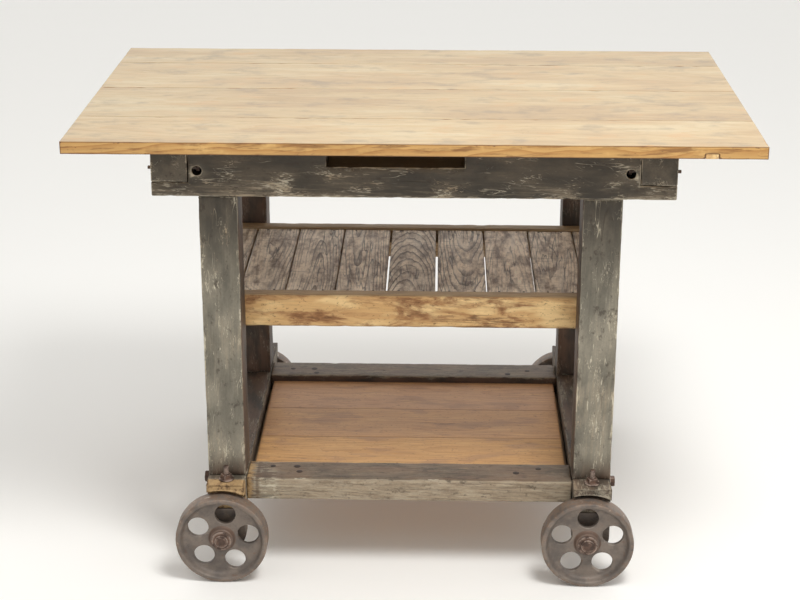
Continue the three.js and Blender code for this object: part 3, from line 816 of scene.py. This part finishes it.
def washer_rows(radius, start, thickness):
    soft = min(0.8 * MM, thickness / 3)
    return [
        (radius - soft, start),
        (radius, start + soft),
        (radius, start + thickness - soft),
        (radius - soft, start + thickness),
        (radius * 0.5, start + thickness + 0.1 * MM),
    ]


def nut_rows(half, start, height):
    corner = half * 1.36
    return [
        (corner * 0.93, start, half),
        (corner, start + height * 0.1, half),
        (corner, start + height * 0.8, half),
        (corner * 0.86, start + height * 0.97, half * 0.99),
        (half * 0.8, start + height),
    ]


def thread_rows(radius, start, end):
    """A stud's thread as rings, with a rounded end."""
    rows = []
    count = max(1, int((end - start) / THREAD_PITCH))
    for i in range(count):
        at = start + i * THREAD_PITCH
        rows += [(radius, at), (radius, at + THREAD_PITCH * 0.35)]
        rows += [(radius - THREAD_DEPTH, at + THREAD_PITCH * share) for share in (0.6, 0.8)]
    last = start + count * THREAD_PITCH
    rows += [(radius, last), (radius, end - 0.8 * MM), (radius - 1.2 * MM, end)]
    return rows


def fastener(node, origin, direction, *solids):
    """The piece for a CAD fastener, of turned solids that each have rows, a number of segments and, on a
    nut, a turn."""
    bm = bmesh.new()
    for solid in solids:
        spindle(bm, origin, direction, *solid)
    bm.normal_update()
    segments = segments_of(sharp_edges(bm))
    piece = make_piece(node + "_turned", bm, node, "rusty_steel")
    set_grain(piece, node, segments)


# ---- the cart's parts ----


def build_worktop():
    def upper_face(x, y, z):
        return 1.0 if z > 0.985 else 0.0

    tones = {1: 0.3, 2: -0.5, 3: 0.4, 4: -0.4}
    for number, tone in tones.items():
        timber(f"top_board_{number}", "worktop", "x", 0.6, 0.5, tone=tone, worn=upper_face, lean_most=0.05)
    for side in ("left", "right"):
        timber(f"top_batten_{side}", "honey_wood", "y", 0.6, 0.4, tone=1.0)


def raise_slot_floor(beam, low, high):
    """The floor of the front beam's slot was cut by hand, and rises a little to the back."""
    for v in beam.data.vertices:
        back = (v.co.y - low.y) / (high.y - low.y)
        near_floor = 1 - abs(high.z - SLOT_DEPTH - v.co.z) / SLOT_BLEND
        if SLOT_LEFT - SLOT_MARGIN < v.co.x < SLOT_RIGHT + SLOT_MARGIN and near_floor > 0:
            v.co.z += SLOT_RISE * near_floor * max(0.0, min(1.0, back * 1.25 - 0.25))


def build_top_frame():
    low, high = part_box("beam_front")
    length_mm, _, height_mm = (high - low) / MM

    def beside_pocket(x, z):
        """How near a point of a beam is to one of the two tie rod pockets."""
        across = (min(x, 1 - x) - POCKET_ALONG) * length_mm
        return max(0.0, 1 - math.hypot(across * 0.7, (z - POCKET_UP) * height_mm) / POCKET_RING_MM)

    # Painted shade: dark front and back faces, lighter round the pockets, near black elsewhere and in the
    # slot.
    def tone(x, y, z):
        return 1.0 - 0.6 * beside_pocket(x, z) if y < 0.03 or y > 0.97 else -2.0

    def worn(x, y, z):
        return 0.56 - z * 0.48 - 0.4 * beside_pocket(x, z)

    for end in ("front", "back"):
        beam = timber(f"beam_{end}", "painted_timber", "x", 2.2, 2.0, tone=tone, worn=worn)
        if end == "front":
            raise_slot_floor(beam, low, high)
    for side in ("left", "right"):
        # Painted shade: the side rails' dark paint matches the shaded beams.
        timber(f"side_rail_{side}", "painted_timber", "y", 2.0, 1.6, tone=0.8, worn=0.12)


def build_legs():
    """The front legs' inner faces are brown, and so are the back legs, but for their outer faces: bare wood
    and painted shade in one. The front legs also darken towards the top, a painted shadow of the
    worktop's overhang, and are brown at the foot.
    """
    for side, inner, rubbed in (("left", 1.0, 0.48), ("right", 0.0, 0.3)):
        def front_tone(x, y, z, inner=inner):
            # Bare wood and painted shade: brown on the inner and back faces.
            if abs(x - inner) < 0.02 or y > 0.98:
                return -1.0
            # Painted shadow of the worktop's overhang: darker paint towards the top; brown at the foot.
            return max(min(0.0, z * 8 - 1.0), z * 2.2 - 1.2)

        def back_tone(x, y, z, inner=inner):
            # Bare wood and painted shade: brown but for the back and outer faces.
            return 0.2 if y > 0.98 or abs(x - inner) > 0.98 else -0.95

        for end, tone in (("front", front_tone), ("back", back_tone)):
            timber(f"leg_{end}_{side}", "painted_timber", "z", 2.4, 2.0, tone=tone,
                   worn=lambda x, y, z: 0.5 - z * 0.3 + 0.2 * max(0.0, 1 - abs(z - rubbed) * 5))


def build_base():
    for side, raw, dirt in (("left", 1.4, -0.5), ("right", 0.72, -0.7)):
        def bare_end(x, y, z, raw=raw):
            return raw if y < 0.045 else 0.6

        timber(f"sill_{side}", "painted_timber", "y", 2.4, 2.4, worn=bare_end,
               tone=lambda x, y, z, dirt=dirt: -0.85 if z > 0.97 and y > 0.15 else dirt)

    def front_tone(x, y, z):
        return -0.72 if z > 0.97 else -max(0.1, 0.9 - x * 14)

    def front_worn(x, y, z):
        rubbed = min(0.92, 0.42 + x * 5) if y < 0.03 or z > 0.97 else 0.42
        return max(1.22 - x * 9, rubbed)

    # Painted shade: the back stretcher's front face is dark brown for the shade it stands in.
    def back_tone(x, y, z):
        return -1.0 if y < 0.03 and z < 0.97 else -0.62

    def back_worn(x, y, z):
        return 0.9 if z > 0.97 else 0.5

    timber("stretcher_front", "painted_timber", "x", 2.6, 2.6, tone=front_tone, worn=front_worn)
    timber("stretcher_back", "painted_timber", "x", 2.6, 2.6, tone=back_tone, worn=back_worn)


def build_bottom_panel():
    for number, tone in {1: -0.7, 2: 0.0, 3: 0.6}.items():
        timber(f"bottom_board_{number}", "warm_boards", "x", 0.5, 0.3, tone=tone)
    for side in ("left", "right"):
        timber(f"bottom_cleat_{side}", "honey_wood", "y", 1.2, 0.8, tone=-1.0)


def build_shelf():
    """Nine boards, each with its own shade, boldness of grain and lean of the tree's middle."""
    tones = [-0.8, -0.2, 0.4, 0.5, -0.4, 0.4, 0.9, 0.0, -0.8]
    strengths = [0.5, 0.55, 0.75, 0.8, 0.85, 0.8, 0.3, 0.45, 0.4]
    leans = [0.04, 0.05, 0.05, 0.035, 0.13, 0.09, 0.04, 0.06, 0.04]
    for number, (tone, strength, lean) in enumerate(zip(tones, strengths, leans), start=1):
        timber(f"shelf_board_{number}", "grey_boards", "y", 1.8, 1.6, tone=tone, worn=strength,
               pith_depth_mm=(12, 40), lean_most=lean)

    def dull_top(x, y, z):
        return -0.75 if z > 0.97 else 0.0

    for end, tone in (("front", dull_top), ("back", -1.0)):
        timber(f"shelf_rail_{end}", "honey_wood", "x", 2.0, 1.6, tone=tone)
        timber(f"shelf_ledger_{end}", "honey_wood", "x", 1.2, 0.8, tone=-1.0)


def wheel_mesh(width, radius):
    """A cast wheel about the Y axis, its outer face at Y = 0 and its hub reaching to Y = width."""
    inner = radius - RIM
    rim_back = width - 1.5 * MM
    web_front, web_back = WEB_RECESS, WEB_RECESS + WEB
    outline = [
        (BORE_RADIUS, HUB_INSET),
        (HUB_RADIUS - 1.5 * MM, HUB_INSET),
        (HUB_RADIUS + 1 * MM, web_front),
        (inner - 3 * MM, web_front),
        (inner + 2 * MM, 0.0),
        (radius, 0.0),
        (radius, rim_back),
        (inner + 2 * MM, rim_back),
        (inner - 1.5 * MM, web_back),
        (HUB_RADIUS + 1 * MM, web_back),
        (HUB_RADIUS - 1.5 * MM, width),
        (BORE_RADIUS, width),
    ]
    radii = [value * MM for value in (0.8, 3, 6, 10, 4, 5, 3, 3, 6, 4, 3, 0.8)]
    blank = object_from("wheel_blank", turned_ring(fillet(outline, radii), WHEEL_SEGMENTS))
    holes = bmesh.new()
    for i in range(HOLE_COUNT):
        angle = 2 * math.pi * i / HOLE_COUNT
        middle = Vector((HOLE_CIRCLE * math.sin(angle), 0, HOLE_CIRCLE * math.cos(angle)))
        wide = HOLE_RADIUS + HOLE_FLARE
        rows = [
            (wide, web_front - 4 * MM),
            (wide, web_front),
            (HOLE_RADIUS + HOLE_FLARE * 0.3, web_front + HOLE_FLARE * 0.4),
            (HOLE_RADIUS, web_front + HOLE_FLARE * 1.3),
            (HOLE_RADIUS, web_back - HOLE_FLARE * 1.3),
            (HOLE_RADIUS + HOLE_FLARE * 0.3, web_back - HOLE_FLARE * 0.4),
            (wide, web_back),
            (wide, web_back + 4 * MM),
        ]
        spindle(holes, middle, (0, 1, 0), rows, 40)
    cutter = object_from("wheel_holes", holes)
    cut = blank.modifiers.new("holes", "BOOLEAN")
    cut.operation, cut.solver, cut.object = "DIFFERENCE", "EXACT", cutter
    bpy.context.view_layer.update()
    evaluated = blank.evaluated_get(bpy.context.evaluated_depsgraph_get())
    made = bpy.data.meshes.new_from_object(evaluated)
    for thing in (blank, cutter):
        data = thing.data
        bpy.data.objects.remove(thing)
        bpy.data.meshes.remove(data)
    return made


def build_wheels():
    low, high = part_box("wheel_front_left")
    radius, width = (high.x - low.x) / 2, high.y - low.y
    pattern = wheel_mesh(width, radius)
    for end, side in CORNERS:
        name = f"{end}_{side}"
        build_wheel(f"wheel_{name}", pattern, OUTWARD[end], FIRST_HOLE[side])
        build_axle(f"axle_{name}", f"wheel_{name}", OUTWARD[end])
        build_hanger(f"hanger_{name}")
        build_hanger_bolt(f"hanger_bolt_{name}", f"sill_{side}")


def build_wheel(node, pattern, outward, first_hole):
    low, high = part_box(node)
    face = low.y if outward < 0 else high.y
    middle = Vector(((low.x + high.x) / 2, face, (low.z + high.z) / 2))
    bm = bmesh.new()
    bm.from_mesh(pattern)
    facing = Matrix.Diagonal((1, -outward, 1, 1))
    bm.transform(Matrix.Translation(middle) @ facing @ Matrix.Rotation(first_hole, 4, "Y"))
    if outward > 0:
        bmesh.ops.reverse_faces(bm, faces=bm.faces)
    bm.normal_update()
    shift = Vector((random.Random(node).uniform(0, 60), 3, 5))
    radius = (high.x - low.x) / 2
    for v in bm.verts:
        out = math.hypot(v.co.x - middle.x, v.co.z - middle.z)
        amount = 0.35 * MM * noise.noise(v.co / (22 * MM) + shift)
        if out > radius - 5 * MM:
            amount = max(0.0, amount) + 0.9 * MM * max(0.0, noise.noise(v.co / (12 * MM) + shift) - 0.05)
        v.co -= v.normal * amount
    segments = cad_segments(node)
    piece = make_piece(node + "_cast", bm, node, "cast_iron")

    def wear(x, y, z):
        """1 on the tread, 0 on the web and -1 on the hub."""
        out = math.hypot(x - 0.5, z - 0.5)
        return min(1.0, max(0.0, (out - 0.46) / 0.035)) - (out < 0.15)

    set_grain(piece, node, segments, worn=wear)


def build_axle(node, wheel, outward):
    """A pin with a washer and a domed head outside the wheel's hub."""
    low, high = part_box(node)
    wheel_low, wheel_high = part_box(wheel)
    face = wheel_low.y if outward < 0 else wheel_high.y
    middle = Vector(((low.x + high.x) / 2, face, (low.z + high.z) / 2))
    head_radius = (high.x - low.x) / 2
    proud = abs((low.y if outward < 0 else high.y) - face)
    shank_end = abs((high.y if outward < 0 else low.y) - face)
    shank = BORE_RADIUS - 0.6 * MM
    seat = -(HUB_INSET - GAP)
    collar_start = seat + 2.8 * MM
    collar_end = proud - 3.2 * MM
    pin = head_radius * 0.6
    dome = [
        (pin, collar_end - 0.2 * MM),
        (pin, proud - 2.0 * MM),
        (pin * 0.9, proud - 1.0 * MM),
        (pin * 0.68, proud - 0.35 * MM),
        (pin * 0.36, proud),
    ]
    fastener(
        node, middle, (0, outward, 0),
        ([(shank, -shank_end), (shank, seat)], 32),
        (washer_rows(head_radius + 4 * MM, seat, collar_start - seat), 40),
        (washer_rows(head_radius * 0.84, collar_start, collar_end - collar_start), 40),
        (dome, 32),
    )


def build_hanger(node):
    bm, segments = worn_solid(node, 2.2, 0.6, HANGER_STEP, random.Random(node).uniform(0, 50))
    piece = make_piece(node + "_cast", bm, node, "cast_iron")
    set_grain(piece, node, segments, worn=0.35)


def build_hanger_bolt(node, sill):
    low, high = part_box(node)
    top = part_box(sill)[1].z + GAP
    middle = Vector(((low.x + high.x) / 2, (low.y + high.y) / 2, 0))
    fastener(
        node, middle, (0, 0, 1),
        ([(STUD_RADIUS, low.z), (STUD_RADIUS, top)], 24),
        (washer_rows((high.x - low.x) / 2, top, WASHER), 40),
        (nut_rows(NUT_HALF, top + WASHER, NUT_HEIGHT), 48, random.Random(node).uniform(0, math.pi / 2)),
        (thread_rows(STUD_RADIUS, top + WASHER + NUT_HEIGHT - 1 * MM, high.z), 24),
    )


def build_base_tie_bolts():
    for end, side in CORNERS:
        node = f"base_tie_bolt_{end}_{side}"
        low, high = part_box(node)
        sill_low, sill_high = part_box(f"sill_{side}")
        face = sill_low.x if side == "left" else sill_high.x
        inner = high.x if side == "left" else low.x
        fastener(
            node, Vector((face, (low.y + high.y) / 2, (low.z + high.z) / 2)), (OUTWARD[side], 0, 0),
            ([(STUD_RADIUS, -abs(inner - face)), (STUD_RADIUS, GAP)], 24),
            (washer_rows((high.z - low.z) / 2, GAP, WASHER), 40),
            (nut_rows(NUT_HALF, GAP + WASHER, NUT_HEIGHT), 48, random.Random(node).uniform(0, math.pi / 2)),
        )


def build_top_tie_rods():
    for end, side in CORNERS:
        node = f"top_tie_rod_{end}_{side}"
        low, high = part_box(node)
        nut_end, rod_end = (high.x, low.x) if side == "left" else (low.x, high.x)
        length = abs(rod_end - nut_end)
        thread_start = length - 12 * MM
        fastener(
            node, Vector((nut_end, (low.y + high.y) / 2, (low.z + high.z) / 2)), (OUTWARD[side], 0, 0),
            (nut_rows(ROD_NUT_HALF, 0.0, ROD_NUT_HEIGHT), 48),
            ([(ROD_RADIUS, ROD_NUT_HEIGHT * 0.5), (ROD_RADIUS, thread_start)], 20),
            (thread_rows(ROD_RADIUS, thread_start, length), 20),
        )


def nail_heads(name, node, places, radius):
    """Old nail heads in a piece's top face. Each place is a share of the face along X and along Y."""
    low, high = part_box(node)
    draw = random.Random(name)
    bm = bmesh.new()
    for across, back in places:
        x = low.x + (high.x - low.x) * across
        y = low.y + (high.y - low.y) * back
        reach = radius * draw.uniform(0.85, 1.15)
        rows = [(reach, -3 * MM), (reach, 0.2 * MM), (reach * 0.8, 0.7 * MM), (reach * 0.35, 0.9 * MM)]
        spindle(bm, Vector((x, y, high.z - 0.4 * MM)), (0, 0, 1), rows, 14)
    bm.normal_update()
    segments = segments_of(sharp_edges(bm))
    piece = make_piece(name, bm, node, "rusty_steel", replaces=[])
    set_grain(piece, node, segments, tone=-1.0)


def build_nails():
    for end, back in (("front", 0.7), ("back", 0.5)):
        places = [(0.075, back), (0.15, back), (0.16, back - 0.3), (0.83, back - 0.25), (0.9, back)]
        nail_heads(f"stretcher_nails_{end}", f"stretcher_{end}", places, 6.5 * MM)
    for number in range(2, 9):
        places = [(x, y) for x in (0.24, 0.76) for y in (0.024, 0.976)]
        nail_heads(f"shelf_nails_{number}", f"shelf_board_{number}", places, 2.6 * MM)


# ---- stage ----


def build_floor():
    s = Shader("studio_floor")
    made = s.node("TexCoord", {})
    place = Signal(s, made.outputs["Object"])
    cloud = s.noise(place, 0.5, detail=3.0)
    colour = s.mix(cloud, (250, 249, 246), (253, 252, 249))
    material = s.finish(colour, 0.55 + cloud * 0.1, cloud, 0.01, specular=0.3)
    bm = bmesh.new()
    bmesh.ops.create_grid(bm, x_segments=8, y_segments=8, size=90.0)
    floor = object_from("floor", bm)
    floor.data.materials.append(material)


def area_light(name, place, target, size, power, colour):
    data = bpy.data.lights.new(name, "AREA")
    data.shape = "RECTANGLE"
    data.size, data.size_y = size
    data.energy = power
    data.color = colour
    light = bpy.data.objects.new(name, data)
    light.location = place
    light.rotation_euler = (Vector(target) - Vector(place)).to_track_quat("-Z", "Y").to_euler()
    light.visible_camera = False
    bpy.context.scene.collection.objects.link(light)


# The world's light: its strength level with the cart, what the sky overhead adds to that, the glow low
# down at the back, and the plain backdrop that the camera sees instead.
SKY_LEVEL = 0.55
SKY_OVERHEAD = 0.21
GLOW_STRENGTH = 1.1
BACKDROP_STRENGTH = 0.78


def build_lights():
    """One soft light above and in front of the cart, and a sky that is brightest overhead and also
    glows low down at the back."""
    area_light("strip", (0.80, -1.40, 3.15), (0, 0, 0.5), (0.9, 1.1), 63, (1.0, 0.995, 0.98))
    world = bpy.data.worlds.new("studio")
    world.use_nodes = True
    n = Nodes(world.node_tree)
    _, back, up = n.split(Signal(n, n.node("TexCoord", {}).outputs["Generated"]))
    glow = n.fade(back, 0.35, 0.95) * n.fade(up, 0.8, 0.25) * GLOW_STRENGTH
    shine = n.fade(up, 0.0, 1.0) * SKY_OVERHEAD + SKY_LEVEL + glow
    seen = Signal(n, n.node("LightPath", {}).outputs["Is Camera Ray"])
    background = n.tree.nodes["Background"]
    background.inputs["Color"].default_value = (1.0, 0.99, 0.97, 1.0)
    n.put(background.inputs["Strength"], shine + (BACKDROP_STRENGTH - shine) * seen)
    bpy.context.scene.world = world


CAMERA_PLACE = (0.0475, -3.493, 1.7446)
CAMERA_LENS = 80.5
CAMERA_PITCH_DOWN = math.radians(20.31)
CAMERA_YAW = math.radians(1.30)
CAMERA_ROLL = math.radians(0.11)


def build_camera():
    data = bpy.data.cameras.new("camera")
    data.lens = CAMERA_LENS
    camera = bpy.data.objects.new("camera", data)
    turn = (
        Matrix.Rotation(CAMERA_YAW, 4, "Z")
        @ Matrix.Rotation(math.pi / 2 - CAMERA_PITCH_DOWN, 4, "X")
        @ Matrix.Rotation(CAMERA_ROLL, 4, "Z")
    )
    camera.matrix_world = Matrix.Translation(CAMERA_PLACE) @ turn
    bpy.context.scene.collection.objects.link(camera)
    bpy.context.scene.camera = camera


build_worktop()
build_top_frame()
build_legs()
build_base()
build_bottom_panel()
build_shelf()
build_wheels()
build_base_tie_bolts()
build_top_tie_rods()
build_nails()
build_floor()
build_lights()
build_camera()
bpy.context.scene.view_settings.view_transform = "Standard"
